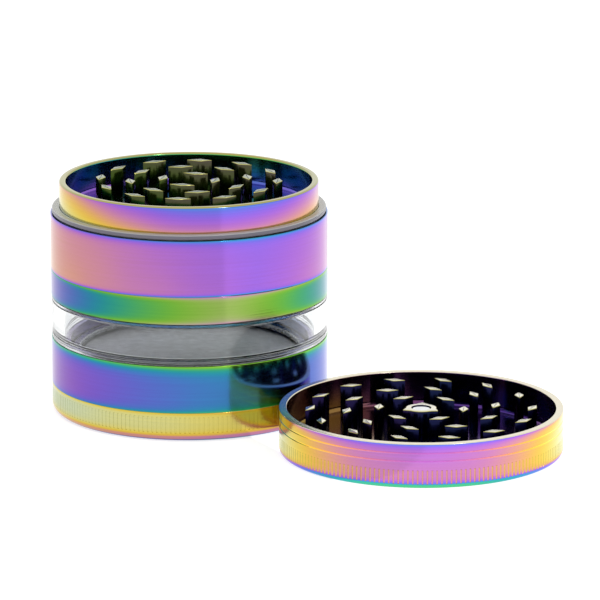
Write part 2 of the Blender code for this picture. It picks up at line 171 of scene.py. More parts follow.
class Graph:
    """A material's node tree, filled through one method."""

    def __init__(self, name: str) -> None:
        """Starts an empty material.

        Args:
            name: The material's name.
        """
        self.material = bpy.data.materials.new(name)
        self.material.use_nodes = True
        self.tree = self.material.node_tree
        self.tree.nodes.clear()

    def node(
        self,
        kind: str,
        settings: dict | None = None,
        values: dict | None = None,
        output: int | str = 0,
    ) -> Value:
        """Adds a node.

        Args:
            kind: The node's type.
            settings: Attributes set first, such as a Math node's operation.
            values: Socket index or name to a number, colour or Value.
            output: The output socket to wrap.

        Returns:
            The wrapped output socket.
        """
        node = self.tree.nodes.new(kind)
        for key, setting in (settings or {}).items():
            setattr(node, key, setting)
        for key, value in (values or {}).items():
            if isinstance(value, Value):
                self.tree.links.new(value.socket, node.inputs[key])
            else:
                node.inputs[key].default_value = value
        return Value(self, node.outputs[output])

    def place(self, centre_x: float = 0.0) -> tuple[Value, Value, Value]:
        """Reads where a surface point is, from an upright axis.

        Args:
            centre_x: The axis's place along X.

        Returns:
            Across the coloured front from 0 to 1, distance from the axis, and height.
        """
        coordinates = self.node("ShaderNodeTexCoord", output="Object")
        moved = self.node(
            "ShaderNodeMapping",
            {"vector_type": "TEXTURE"},
            {
                "Vector": coordinates,
                "Location": (centre_x, 0.0, 0.0),
                "Rotation": (0.0, 0.0, PAINTED_LIGHT_FACING),
            },
        )
        x = self.node("ShaderNodeSeparateXYZ", values={0: moved}, output="X")
        y = self.node("ShaderNodeSeparateXYZ", values={0: moved}, output="Y")
        z = self.node("ShaderNodeSeparateXYZ", values={0: moved}, output="Z")
        radius = (x * x + y * y).root().highest(1e-5)
        return x / radius * 0.5 + 0.5, radius, z

    def tint(self, first: object, second: object, factor: object, blend: str = "MIX") -> Value:
        """Mixes two colours."""
        settings = {"data_type": "RGBA", "blend_type": blend}
        values = {0: factor, 6: first, 7: second}
        return self.node("ShaderNodeMix", settings, values, output=2)

    def colour(self, red: Value, green: Value, blue: Value) -> Value:
        """Makes a colour of its three parts."""
        return self.node("ShaderNodeCombineColor", values={0: red, 1: green, 2: blue})

    def grey(self, value: Value) -> Value:
        """Makes a grey colour of a value."""
        return self.node("ShaderNodeCombineXYZ", values={0: value, 1: value, 2: value})

    def noise(self, vector: Value, scale: float, detail: float = 2.0) -> Value:
        """Reads soft noise from 0 to 1."""
        values = {"Vector": vector, "Scale": scale, "Detail": detail}
        return self.node("ShaderNodeTexNoise", {"noise_dimensions": "3D"}, values)

    def stretched(self, scale: tuple[float, float, float]) -> Value:
        """Reads Object coordinates scaled apart along the axes."""
        coordinates = self.node("ShaderNodeTexCoord", output="Object")
        values = {"Vector": coordinates, "Scale": scale}
        return self.node("ShaderNodeMapping", values=values)

    def bump(self, height: Value, distance: float, strength: float = 1.0) -> Value:
        """Makes a normal from a height in metres."""
        values = {"Height": height, "Distance": distance, "Strength": strength}
        return self.node("ShaderNodeBump", values=values)

    def finish(self, shader: Value) -> bpy.types.Material:
        """Joins a shader to the output and returns the material."""
        output = self.tree.nodes.new("ShaderNodeOutputMaterial")
        self.tree.links.new(shader.socket, output.inputs["Surface"])
        return self.material

    def principled(self, values: dict) -> bpy.types.Material:
        """Finishes with one Principled shader."""
        return self.finish(self.node("ShaderNodeBsdfPrincipled", values=values))


def linear(colour: str) -> tuple[float, float, float]:
    """Turns a display colour, written as six hexadecimal digits, into linear light."""
    parts = [int(colour[start : start + 2], 16) / 255.0 for start in (0, 2, 4)]
    return tuple(
        part / 12.92 if part <= 0.04045 else ((part + 0.055) / 1.055) ** 2.4 for part in parts
    )


# Finishes


@dataclass(frozen=True)
class Wave:
    """How strongly the film sends back one primary colour, by wavelength in nanometres."""

    length: float
    middle: float
    swing: float

    def strength(self, path: Value) -> Value:
        """Reads the colour's strength at an optical path."""
        return ((path * (TURN / self.length)).cosine() * self.swing + self.middle).highest(0.0)


RED = Wave(650.0, 0.33, 0.30)
GREEN = Wave(560.0, 0.33, 0.22)
BLUE = Wave(440.0, 0.33, 0.27)


@dataclass(frozen=True)
class FilmFinish:
    """Interference-coloured metal on one turned band.

    The optical path through the film, in nanometres, has its crest at one place across the
    band's front and eases to its values at the left and right edges; this change across the front
    is painted sheen, standing in for the film's colour shift with viewing angle. A slope, and a
    shift close to the lowest and highest edge, change it with height. The gain scales the colour,
    and in some finishes it paints light or shade.
    """

    name: str
    crest: float
    left: float
    right: float
    low: float = 0.0
    high: float = 53.0 * MM
    crest_at: float = 0.65
    ease: float = 1.4
    slope: float = 0.0
    low_shift: float = 0.0
    low_reach: float = 0.4 * MM
    high_shift: float = 0.0
    high_reach: float = 0.4 * MM
    drift: float = 12.0
    gain: float = 1.0
    roughness: float = 0.14
    line_film: float = 12.0
    line_shade: float = 0.18
    line_gloss: float = 0.08
    line_depth: float = 0.006 * MM
    grain_shade: float = 0.05
    grain_depth: float = 0.3
    centre_x: float = 0.0

    def make(self) -> bpy.types.Material:
        """Builds the finish's material."""
        graph = Graph(self.name)
        across, _, height = graph.place(self.centre_x)
        lines = graph.noise(graph.stretched(TURNING_LINES), 1.0, 3.0)
        patches = graph.noise(graph.stretched(SOFT_PATCHES), 1.0, 1.0)
        grain = graph.noise(graph.stretched(FINE_GRAIN), 1.0, 2.0)
        path = self._painted_sheen_across(across) + self._up(height)
        path = path + (lines - 0.5) * self.line_film + (patches - 0.5) * (2.0 * self.drift)
        colour = graph.colour(RED.strength(path), GREEN.strength(path), BLUE.strength(path))
        shade = (lines - 0.5) * self.line_shade + (grain - 0.5) * self.grain_shade
        level = (shade + 1.0) * self.gain
        colour = graph.tint(colour, graph.grey(level), 1.0, "MULTIPLY")
        relief = (lines + grain * self.grain_depth) * self.line_depth
        return graph.principled(
            {
                "Base Color": colour,
                "Metallic": 1.0,
                "Roughness": (lines - 0.5) * self.line_gloss + self.roughness,
                "Normal": graph.bump(relief, 1.0),
            }
        )

    def _painted_sheen_across(self, across: Value) -> Value:
        """Reads the path's crest and its fall to both edges: painted sheen for the shift with
        viewing angle.
        """
        to_left = ((self.crest_at - across) / self.crest_at).highest(0.0) ** self.ease
        to_right = ((across - self.crest_at) / (1.0 - self.crest_at)).highest(0.0) ** self.ease
        fall = to_left * (self.crest - self.left) + to_right * (self.crest - self.right)
        return self.crest - fall

    def _up(self, height: Value) -> Value:
        """Reads the path's change with height, with a turn of colour close to each edge."""
        up = (height - self.low) / (self.high - self.low)
        from_low = ((self.low - height) / self.low_reach).lowest(0.0).exp()
        from_high = ((height - self.high) / self.high_reach).lowest(0.0).exp()
        return (up - 0.5) * self.slope + from_low * self.low_shift + from_high * self.high_shift


@dataclass(frozen=True)
class PlainFinish:
    """Plain metal of one colour, or of two in soft patches, with fine grain."""

    name: str
    colour: str
    metallic: float = 1.0
    roughness: float = 0.3
    spread: float = 0.10
    grain: float = 900.0
    depth: float = 0.001 * MM
    second: str = ""
    second_share: float = 0.5

    def make(self) -> bpy.types.Material:
        """Builds the finish's material."""
        graph = Graph(self.name)
        noise = graph.noise(graph.stretched((self.grain,) * 3), 1.0, 3.0)
        broad = graph.noise(graph.stretched((180.0,) * 3), 1.0, 2.0)
        colour = graph.tint(
            (*linear(self.colour), 1.0),
            (*linear(self.second or self.colour), 1.0),
            ((broad - 0.5) * 3.0 + self.second_share).highest(0.0).lowest(1.0),
        )
        level = 1.0 + (noise - 0.5) * self.spread * 2.0
        colour = graph.tint(colour, graph.grey(level), 1.0, "MULTIPLY")
        return graph.principled(
            {
                "Base Color": colour,
                "Metallic": self.metallic,
                "Roughness": (noise - 0.5) * 0.1 + self.roughness,
                "Normal": graph.bump(noise * self.depth, 1.0),
            }
        )


@dataclass(frozen=True)
class ClearFinish:
    """Clear or clouded plastic that light goes through."""

    name: str
    colour: str
    roughness: float
    transmission: float
    ior: float = 1.49

    def make(self) -> bpy.types.Material:
        """Builds the finish's material."""
        graph = Graph(self.name)
        smear = graph.noise(graph.stretched((90.0, 90.0, 400.0)), 1.0, 3.0)
        tone = graph.grey(0.985 + (smear - 0.5) * 0.03)
        colour = graph.tint((*linear(self.colour), 1.0), tone, 1.0, "MULTIPLY")
        return graph.principled(
            {
                "Base Color": colour,
                "Metallic": 0.0,
                "Roughness": (smear * 0.03 + self.roughness).highest(0.0),
                "IOR": self.ior,
                "Transmission Weight": self.transmission,
                "Normal": graph.bump(smear * 0.002 * MM, 1.0, 0.3),
            }
        )


@dataclass(frozen=True)
class WeaveFinish:
    """Plain-woven steel wire, with painted shade between the wires and down their sides."""

    name: str
    colour: str = "B4B6BA"
    pitch: float = 0.48 * MM
    roughness: float = 0.35

    def make(self) -> bpy.types.Material:
        """Builds the finish's material."""
        graph = Graph(self.name)
        coordinates = graph.node("ShaderNodeTexCoord", output="Object")
        x = graph.node("ShaderNodeSeparateXYZ", values={0: coordinates}, output="X")
        y = graph.node("ShaderNodeSeparateXYZ", values={0: coordinates}, output="Y")
        warp = self._wire(graph, x)
        weft = self._wire(graph, y)
        over = self._wave(graph, x, 2.0) * self._wave(graph, y, 2.0)
        height = warp * (0.75 + over * 0.25) + weft * (0.75 - over * 0.25)
        mottle = graph.noise(graph.stretched((700.0, 700.0, 700.0)), 1.0, 3.0)
        # Painted shade: the colour darkens down each wire's sides and between the wires, and the
        # mottle varies its tone at random.
        level = height * 0.85 + (mottle - 0.5) * 0.9 + 0.20
        colour = graph.tint((*linear(self.colour), 1.0), graph.grey(level), 1.0, "MULTIPLY")
        return graph.principled(
            {
                "Base Color": colour,
                "Metallic": 0.8,
                "Roughness": self.roughness,
                "Normal": graph.bump(height * 0.03 * MM, 1.0),
            }
        )

    def _wave(self, graph: Graph, along: Value, span: float) -> Value:
        """Reads a sine of a coordinate, over a number of wire pitches."""
        return graph.node(
            "ShaderNodeMath", {"operation": "SINE"}, {0: along * (TURN / (self.pitch * span))}
        )

    def _wire(self, graph: Graph, along: Value) -> Value:
        """Reads a wire's round height across its pitch, from 0 to 1."""
        return (self._wave(graph, along, 1.0) * 0.5 + 0.5).root()


# Modelling


class Bench:
    """The modelling operators, used as by hand on one piece at a time."""

    def clear(self) -> None:
        """Leaves edit mode and selects nothing."""
        if bpy.context.object and bpy.context.object.mode != "OBJECT":
            bpy.ops.object.mode_set(mode="OBJECT")
        bpy.ops.object.select_all(action="DESELECT")

    def hold(self, piece: bpy.types.Object) -> None:
        """Makes one piece the only selected and active one."""
        self.clear()
        piece.select_set(True)
        bpy.context.view_layer.objects.active = piece

    def _draw(self, name: str, path: Outline, centre_x: float = 0.0) -> bpy.types.Object:
        """Starts a piece as a chain of edges through (radius, height) points, in edit mode."""
        self.clear()
        bpy.ops.mesh.primitive_plane_add(size=MM)
        piece = bpy.context.object
        piece.name = piece.data.name = name
        bpy.ops.object.mode_set(mode="EDIT")
        bpy.ops.mesh.select_mode(type="VERT")
        bpy.ops.mesh.select_all(action="SELECT")
        bpy.ops.mesh.merge(type="CENTER")
        bpy.ops.transform.translate(value=(centre_x + path[0][0], 0.0, path[0][1]))
        for (radius, height), (next_radius, next_height) in zip(path, path[1:]):
            step = (next_radius - radius, 0.0, next_height - height)
            bpy.ops.mesh.extrude_region_move(TRANSFORM_OT_translate={"value": step})
        return piece

    def turn(
        self, name: str, outline: Outline, segments: int, centre_x: float = 0.0
    ) -> bpy.types.Object:
        """Draws an outline point by point and turns it once round an upright axis.

        Args:
            name: The piece's name.
            outline: (radius, height) points; it is closed unless both ends lie on the axis.
            segments: Steps round the axis.
            centre_x: The axis's place along X.

        Returns:
            The turned piece.
        """
        closed = outline[0][0] > 0.0 or outline[-1][0] > 0.0
        path = held(outline + outline[:1] if closed else outline)
        piece = self._draw(name, path, centre_x)
        self._weld()
        bpy.ops.mesh.spin(
            steps=segments, angle=TURN, center=(centre_x, 0.0, 0.0), axis=(0.0, 0.0, 1.0)
        )
        self._weld()
        bpy.ops.mesh.normals_make_consistent(inside=False)
        bpy.ops.object.mode_set(mode="OBJECT")
        return piece

    def _weld(self) -> None:
        """Selects all and merges points that lie together."""
        bpy.ops.mesh.select_all(action="SELECT")
        bpy.ops.mesh.remove_doubles(threshold=WELD)

    def helix(
        self, name: str, section: Outline, pitch: float, turns: float, segments: int
    ) -> bpy.types.Object:
        """Sweeps a closed section up a right-hand helix round Z and caps its ends."""
        ridge = self._draw(name, section + section[:1])
        self._weld()
        bpy.ops.object.mode_set(mode="OBJECT")
        screw = ridge.modifiers.new("screw", "SCREW")
        screw.angle = TURN * turns
        screw.screw_offset = pitch * turns
        screw.steps = screw.render_steps = round(segments * turns)
        screw.use_merge_vertices = False
        bpy.ops.object.modifier_apply(modifier=screw.name)
        bpy.ops.object.mode_set(mode="EDIT")
        bpy.ops.mesh.select_all(action="SELECT")
        bpy.ops.mesh.fill_holes(sides=0)
        bpy.ops.mesh.select_all(action="SELECT")
        bpy.ops.mesh.normals_make_consistent(inside=False)
        bpy.ops.object.mode_set(mode="OBJECT")
        return ridge

    def post(
        self, name: str, length: float, width: float, low: float, high: float
    ) -> bpy.types.Object:
        """Models one tooth: a rhombic post with its corners and tip softened."""
        self.clear()
        bpy.ops.mesh.primitive_cylinder_add(
            vertices=4, radius=0.5, depth=high - low, location=(0.0, 0.0, (high + low) / 2.0)
        )
        post = bpy.context.object
        post.name = post.data.name = name
        bpy.ops.object.mode_set(mode="EDIT")
        bpy.ops.mesh.select_all(action="SELECT")
        bpy.ops.transform.resize(value=(width, length, 1.0))
        self.select(post, "EDGE", lambda middle, _: abs(middle.z) < WELD)
        bpy.ops.mesh.bevel(offset=CORNER_BEVEL, segments=2)
        top = (high - low) / 2.0
        self.select(post, "FACE", lambda middle, _: middle.z > top - WELD)
        bpy.ops.mesh.bevel(offset=TIP_BEVEL, segments=2)
        bpy.ops.object.mode_set(mode="OBJECT")
        self.settle(post)
        return post

    def select(self, piece: bpy.types.Object, kind: str, test: Test) -> None:
        """Selects, in edit mode, the edges or faces whose middle and normal pass a test."""
        bpy.ops.mesh.select_mode(type=kind)
        bpy.ops.mesh.select_all(action="DESELECT")
        mesh = bmesh.from_edit_mesh(piece.data)
        if kind == "EDGE":
            for edge in mesh.edges:
                first, second = edge.verts
                edge.select_set(test((first.co + second.co) / 2.0, second.co - first.co))
        else:
            for face in mesh.faces:
                face.select_set(test(face.calc_center_median(), face.normal))
        bmesh.update_edit_mesh(piece.data)

    def settle(self, piece: bpy.types.Object) -> None:
        """Puts a piece's place, turn and size into its mesh."""
        self.hold(piece)
        bpy.ops.object.transform_apply(location=True, rotation=True, scale=True)

    def rings(
        self, model: bpy.types.Object, rings: Rings, centre_x: float = 0.0
    ) -> list[bpy.types.Object]:
        """Copies one piece round rings and removes the model.

        Args:
            model: The piece to copy, standing at the origin.
            rings: For each ring its radius, count, first angle, and the copies' own twist.
            centre_x: The rings' axis along X.

        Returns:
            The copies.
        """
        copies = []
        for radius, count, first, twist in rings:
            for index in range(count):
                angle = first + TURN * index / count
                self.hold(model)
                bpy.ops.object.duplicate(linked=False)
                copy = bpy.context.object
                copy.rotation_euler.z = angle + twist
                copy.location = (centre_x + radius * math.cos(angle), radius * math.sin(angle), 0.0)
                copies.append(copy)
        bpy.data.objects.remove(model)
        self.clear()
        for copy in copies:
            copy.select_set(True)
        bpy.context.view_layer.objects.active = copies[0]
        bpy.ops.object.transform_apply(location=True, rotation=True, scale=True)
        return copies

    def join(self, piece: bpy.types.Object, others: list[bpy.types.Object]) -> None:
        """Joins other pieces into one."""
        self.clear()
        for other in others:
            other.select_set(True)
        piece.select_set(True)
        bpy.context.view_layer.objects.active = piece
        bpy.ops.object.join()

    def combine(self, piece: bpy.types.Object, tool: bpy.types.Object, operation: str) -> None:
        """Cuts a tool away from a piece, or unites the two, and removes the tool."""
        self.hold(piece)
        modifier = piece.modifiers.new("combine", "BOOLEAN")
        modifier.operation = operation
        modifier.solver = "EXACT"
        modifier.object = tool
        bpy.ops.object.modifier_apply(modifier=modifier.name)
        bpy.data.objects.remove(tool)

    def smooth(self, piece: bpy.types.Object, degrees: float = 32.0) -> None:
        """Shades a piece smooth up to an angle."""
        self.hold(piece)
        bpy.ops.object.shade_smooth_by_angle(angle=math.radians(degrees))

    def paint(self, piece: bpy.types.Object, coats: list[tuple[bpy.types.Material, Test]]) -> None:
        """Gives each face the last finish whose test it passes."""
        piece.data.materials.clear()
        for material, _ in coats:
            piece.data.materials.append(material)
        for face in piece.data.polygons:
            for index, (_, test) in enumerate(coats):
                if test(face.center, face.normal):
                    face.material_index = index

    def flute(
        self,
        piece: bpy.types.Object,
        radius: float,
        low: float,
        high: float,
        depth: float,
        centre_x: float,
    ) -> None:
        """Sinks one narrow slot in every flute's width round a band.

        Args:
            piece: A band turned with FLUTE_COLUMNS columns to a flute.
            radius: The band's outer radius.
            low: The lowest height of the slotted row of faces.
            high: The highest height of that row.
            depth: How deep the slots go.
            centre_x: The band's axis along X.
        """
        columns = FLUTES * FLUTE_COLUMNS

        def in_slot(middle: Vector, _: Vector) -> bool:
            """Tells a slot's face by its height, distance and column."""
            x = middle.x - centre_x
            if not low < middle.z < high or math.hypot(x, middle.y) < radius - 0.1 * MM:
                return False
            return int(math.atan2(middle.y, x) % TURN / TURN * columns) % FLUTE_COLUMNS == 0

        self.hold(piece)
        bpy.ops.object.mode_set(mode="EDIT")
        self.select(piece, "FACE", in_slot)
        bpy.ops.mesh.inset(thickness=SLOT_INSET, depth=-depth, use_individual=True)
        bpy.ops.object.mode_set(mode="OBJECT")


def arc(
    centre: tuple[float, float], radius: float, start: float, end: float, steps: int
) -> Outline:
    """Returns points on an arc, angles in degrees from outward."""
    turns = [math.radians(start + (end - start) * step / steps) for step in range(steps + 1)]
    return [
        (centre[0] + radius * math.cos(turn), centre[1] + radius * math.sin(turn)) for turn in turns
    ]


def held(path: Outline, reach: float = 0.05 * MM, shortest: float = 0.5 * MM) -> Outline:
    """Adds a point close to both ends of every long straight run, so that its face shades flat."""
    points = path[:1]
    for (radius, height), (next_radius, next_height) in zip(path, path[1:]):
        length = math.hypot(next_radius - radius, next_height - height)
        if length > shortest:
            for share in (reach / length, 1.0 - reach / length):
                along = radius + (next_radius - radius) * share
                points.append((along, height + (next_height - height) * share))
        points.append((next_radius, next_height))
    return points


def place(piece: bpy.types.Object, body: str, node: str) -> None:
    """Rides a finished piece on its body in place of its CAD node."""
    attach(piece, body)
    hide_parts(node)
    LOG.info("%s: %d faces on %s", piece.name, len(piece.data.polygons), body)


def always(_: Vector, __: Vector) -> bool:
    """Passes every face."""
    return True


def faces_up(_: Vector, normal: Vector) -> bool:
    """Tells a face that looks more up than sideways."""
    return normal.z > 0.5


# Levels and radii, from the frame


@dataclass(frozen=True)
class Levels:
    """Heights and radii that neighbouring pieces share, read from the frame."""

    gap: float = 0.10 * MM
    edge: float = 0.14 * MM
    body_radius: float = field(default_factory=lambda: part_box("base_cup")[1].x)
    storage_low: float = field(default_factory=lambda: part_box("storage_body")[0].z)
    seal_low: float = field(default_factory=lambda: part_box("window_lower_seal")[0].z)
    window_low: float = field(default_factory=lambda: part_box("window_ring")[0].z)
    window_high: float = field(default_factory=lambda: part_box("window_ring")[1].z)
    seal_high: float = field(default_factory=lambda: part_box("window_upper_seal")[1].z)
    chamber_low: float = field(default_factory=lambda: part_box("grinding_chamber")[0].z)
    lip_top: float = field(default_factory=lambda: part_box("grinding_chamber")[1].z)
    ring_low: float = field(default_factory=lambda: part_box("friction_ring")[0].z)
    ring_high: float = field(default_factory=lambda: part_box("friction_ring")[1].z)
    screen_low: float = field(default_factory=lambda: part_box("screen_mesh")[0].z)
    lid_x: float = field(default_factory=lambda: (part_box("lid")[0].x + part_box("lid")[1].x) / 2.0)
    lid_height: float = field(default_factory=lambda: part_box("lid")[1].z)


LEVELS = Levels()


# Pieces


@dataclass
class Thread:
    """A right-hand helical ridge on a neck or in a bore."""

    root: float
    side: int
    start: float
    pitch: float = 2.0 * MM
    depth: float = 0.6 * MM
    root_width: float = 1.0 * MM
    crest_width: float = 0.5 * MM
    turns: float = 1.25
    bite: float = 0.3 * MM
    segments: int = 96

    def build(self, bench: Bench, name: str) -> bpy.types.Object:
        """Sweeps the ridge.

        Args:
            bench: The modelling operators.
            name: The ridge's name.

        Returns:
            The ridge, in its place.
        """
        buried = self.root - self.side * self.bite
        crest = self.root + self.side * self.depth
        wide, narrow = self.root_width / 2.0, self.crest_width / 2.0
        section = [
            (buried, -wide),
            (self.root, -wide),
            (crest, -narrow),
            (crest, narrow),
            (self.root, wide),
            (buried, wide),
        ]
        section = [(radius, self.start + height) for radius, height in section]
        return bench.helix(name, section, self.pitch, self.turns, self.segments)


@dataclass
class BandShape:
    """Sizes that every threaded band of the stack shares."""

    radius: float = LEVELS.body_radius
    edge: float = LEVELS.edge
    neck_radius: float = 28.6 * MM
    neck_height: float = 4.8 * MM
    neck_inner: float = 26.4 * MM
    bore_radius: float = 29.5 * MM
    bore_room: float = 0.5 * MM
    thread_drop: float = 1.2 * MM

    def side(self, low: float, high: float) -> Outline:
        """Returns a band's outer side with softened edges, from the bottom up."""
        soft = self.edge
        lower = arc((self.radius - soft, low + soft), soft, -90.0, 0.0, 3)
        upper = arc((self.radius - soft, high - soft), soft, 0.0, 90.0, 3)
        return lower + upper

    def neck(self, low: float) -> Outline:
        """Returns a neck's outer side and rim, from the bottom up."""
        high = low + self.neck_height
        soft = 0.3 * MM
        return [
            (self.neck_radius, low),
            *arc((self.neck_radius - soft, high - soft), soft, 0.0, 90.0, 3),
            (self.neck_inner, high),
        ]

    def outside(self, middle: Vector, _: Vector) -> bool:
        """Tells whether a face lies on the band's outer side."""
        return math.hypot(middle.x, middle.y) > self.radius - 0.6 * MM


@dataclass
class BaseCup:
    """The lowest cup, its fluted band and its threaded neck."""

    shape: BandShape = field(default_factory=BandShape)
    top: float = LEVELS.storage_low - LEVELS.gap
    foot: float = 1.8 * MM
    floor: float = 1.6 * MM
    fillet: float = 1.5 * MM
    flute_low: float = 2.0 * MM
    flute_high: float = 5.6 * MM
    flute_depth: float = 0.06 * MM

    def build(self, bench: Bench) -> bpy.types.Object:
        """Turns the cup, sinks its flutes and adds its thread."""
        shape = self.shape
        outline = [(0.0, 0.0)]
        outline += arc((shape.radius - self.foot, self.foot), self.foot, -90.0, 0.0, 8)
        outline += [(shape.radius, self.flute_low), (shape.radius, self.flute_high)]
        outline += arc((shape.radius - shape.edge, self.top - shape.edge), shape.edge, 0.0, 90.0, 3)
        outline += shape.neck(self.top)
        bowl = (shape.neck_inner - self.fillet, self.floor + self.fillet)
        outline += arc(bowl, self.fillet, 0.0, -90.0, 6)
        outline += [(0.0, self.floor)]
        cup = bench.turn("base_cup_looks", outline, FLUTES * FLUTE_COLUMNS)
        bench.flute(cup, shape.radius, self.flute_low, self.flute_high, self.flute_depth, 0.0)
        start = LEVELS.storage_low - PIECE_GAP + shape.thread_drop
        bench.join(cup, [Thread(shape.neck_radius, 1, start).build(bench, "base_neck_ridge")])
        return cup

    def dress(self, bench: Bench, cup: bpy.types.Object, paints: Paints) -> None:
        """Gives the cup its finishes and its place."""
        coats = [(paints["inner"], always), (paints["base"], self.shape.outside)]
        bench.paint(cup, coats)
        bench.smooth(cup)
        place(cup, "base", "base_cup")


@dataclass
class StorageBody:
    """The blue band, with the screen's shelf and the window's seat."""

    shape: BandShape = field(default_factory=BandShape)
    low: float = LEVELS.storage_low
    top: float = LEVELS.seal_low - LEVELS.gap
    shelf_top: float = 13.1 * MM
    shelf_bottom: float = 11.7 * MM
    shelf_inner: float = 24.6 * MM
    tenon_radius: float = 28.3 * MM
    tenon_inner: float = 27.2 * MM
    tenon_top: float = 17.3 * MM

    def build(self, bench: Bench) -> bpy.types.Object:
        """Turns the band and adds the thread in its bore."""
        shape = self.shape
        outline = [(shape.bore_radius, self.low)]
        outline += shape.side(self.low - SKIRT_DROP, self.top)
        outline += [
            (self.tenon_radius, self.top),
            (self.tenon_radius, self.tenon_top),
            (self.tenon_inner, self.tenon_top),
            (self.tenon_inner, self.shelf_top),
            (self.shelf_inner, self.shelf_top),
            (self.shelf_inner, self.shelf_bottom),
            (shape.bore_radius, self.shelf_bottom),
        ]
        body = bench.turn("storage_body_looks", outline, FINE_SEGMENTS)
        start = self.low - PIECE_GAP + shape.thread_drop + HALF_PITCH
        bench.join(body, [Thread(shape.bore_radius, -1, start).build(bench, "storage_bore_ridge")])
        return body

    def dress(self, bench: Bench, body: bpy.types.Object, paints: Paints) -> None:
        """Gives the band its finishes and its place."""
        bench.paint(body, [(paints["inner"], always), (paints["storage"], self.shape.outside)])
        bench.smooth(body)
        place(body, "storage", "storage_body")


@dataclass
class Screen:
    """The woven screen and the ring that holds it down on its shelf."""

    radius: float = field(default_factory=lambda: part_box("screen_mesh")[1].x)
    low: float = LEVELS.screen_low
    thickness: float = 0.22 * MM
    ring_width: float = 2.0 * MM
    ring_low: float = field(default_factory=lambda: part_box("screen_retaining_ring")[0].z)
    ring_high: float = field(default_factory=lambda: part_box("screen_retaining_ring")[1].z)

    def build(self, bench: Bench) -> tuple[bpy.types.Object, bpy.types.Object]:
        """Turns the screen disc and its ring."""
        top = self.low + self.thickness
        disc = [(0.0, self.low), (self.radius, self.low), (self.radius, top), (0.0, top)]
        screen = bench.turn("screen_mesh_looks", disc, FINE_SEGMENTS)
        soft = 0.3 * MM
        inner = self.radius - self.ring_width
        ring = [(inner, self.ring_low), (self.radius, self.ring_low)]
        ring += arc((self.radius - soft, self.ring_high - soft), soft, 0.0, 90.0, 3)
        ring += arc((inner + soft, self.ring_high - soft), soft, 90.0, 180.0, 3)
        return screen, bench.turn("screen_retaining_ring_looks", ring, FINE_SEGMENTS)

    def dress(
        self,
        bench: Bench,
        screen: bpy.types.Object,
        ring: bpy.types.Object,
        paints: Paints,
    ) -> None:
        """Gives both pieces their finishes and places."""
        for piece, paint in ((screen, "weave"), (ring, "steel")):
            bench.paint(piece, [(paints[paint], always)])
            bench.smooth(piece)
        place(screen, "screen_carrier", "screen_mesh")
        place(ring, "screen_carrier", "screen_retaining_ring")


@dataclass
class Window:
    """The clear ring and the soft seals above and below it."""

    inner: float = 28.6 * MM
    outer: float = 31.4 * MM
    low: float = LEVELS.window_low
    high: float = LEVELS.window_high
    seal_low: float = LEVELS.seal_low
    seal_high: float = LEVELS.seal_high
    soft: float = 0.25 * MM
    seam: float = 0.06 * MM

    def build(self, bench: Bench) -> dict[str, bpy.types.Object]:
        """Turns the window and its two seals."""
        spans = {
            "window_lower_seal": (self.seal_low, self.low - self.seam, 0.12 * MM),
            "window_ring": (self.low, self.high, self.soft),
            "window_upper_seal": (self.high + self.seam, self.seal_high, 0.12 * MM),
        }
        return {
            name: bench.turn(f"{name}_looks", self._layer(low, high, soft), FINE_SEGMENTS)
            for name, (low, high, soft) in spans.items()
        }

    def _layer(self, low: float, high: float, soft: float) -> Outline:
        """Returns the outline of a ring with softened corners."""
        outline = arc((self.outer - soft, low + soft), soft, -90.0, 0.0, 3)
        outline += arc((self.outer - soft, high - soft), soft, 0.0, 90.0, 3)
        outline += arc((self.inner + soft, high - soft), soft, 90.0, 180.0, 3)
        outline += arc((self.inner + soft, low + soft), soft, 180.0, 270.0, 3)
        return outline

    def dress(
        self, bench: Bench, layers: dict[str, bpy.types.Object], paints: Paints
    ) -> None:
        """Gives the window and seals their finishes and places."""
        for name, layer in layers.items():
            clear = name == "window_ring"
            bench.paint(layer, [(paints["window" if clear else "seal"], always)])
            bench.smooth(layer)
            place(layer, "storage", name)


@dataclass
class UpperCollar:
    """The green band that caps the window and carries the upper neck."""

    shape: BandShape = field(default_factory=BandShape)
    low: float = field(default_factory=lambda: LEVELS.seal_high + LEVELS.gap)
    top: float = field(default_factory=lambda: LEVELS.chamber_low - LEVELS.gap)
    tenon_radius: float = 28.3 * MM
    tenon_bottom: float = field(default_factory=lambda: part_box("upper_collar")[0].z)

    def build(self, bench: Bench) -> bpy.types.Object:
        """Turns the collar and adds the thread on its neck."""
        shape = self.shape
        outline = [
            (shape.neck_inner, self.tenon_bottom),
            (self.tenon_radius, self.tenon_bottom),
            (self.tenon_radius, self.low),
        ]
        outline += shape.side(self.low, self.top)
        outline += shape.neck(self.top)
        collar = bench.turn("upper_collar_looks", outline, FINE_SEGMENTS)
        start = LEVELS.chamber_low - PIECE_GAP + shape.thread_drop
        bench.join(collar, [Thread(shape.neck_radius, 1, start).build(bench, "collar_neck_ridge")])
        return collar

    def dress(self, bench: Bench, collar: bpy.types.Object, paints: Paints) -> None:
        """Gives the collar its finishes and its place."""
        bench.paint(collar, [(paints["inner"], always), (paints["collar"], self.shape.outside)])
        bench.smooth(collar)
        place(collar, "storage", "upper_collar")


@dataclass
class GrindingChamber:
    """The main band: bore, holed and toothed floor, lip, magnet and friction ring."""

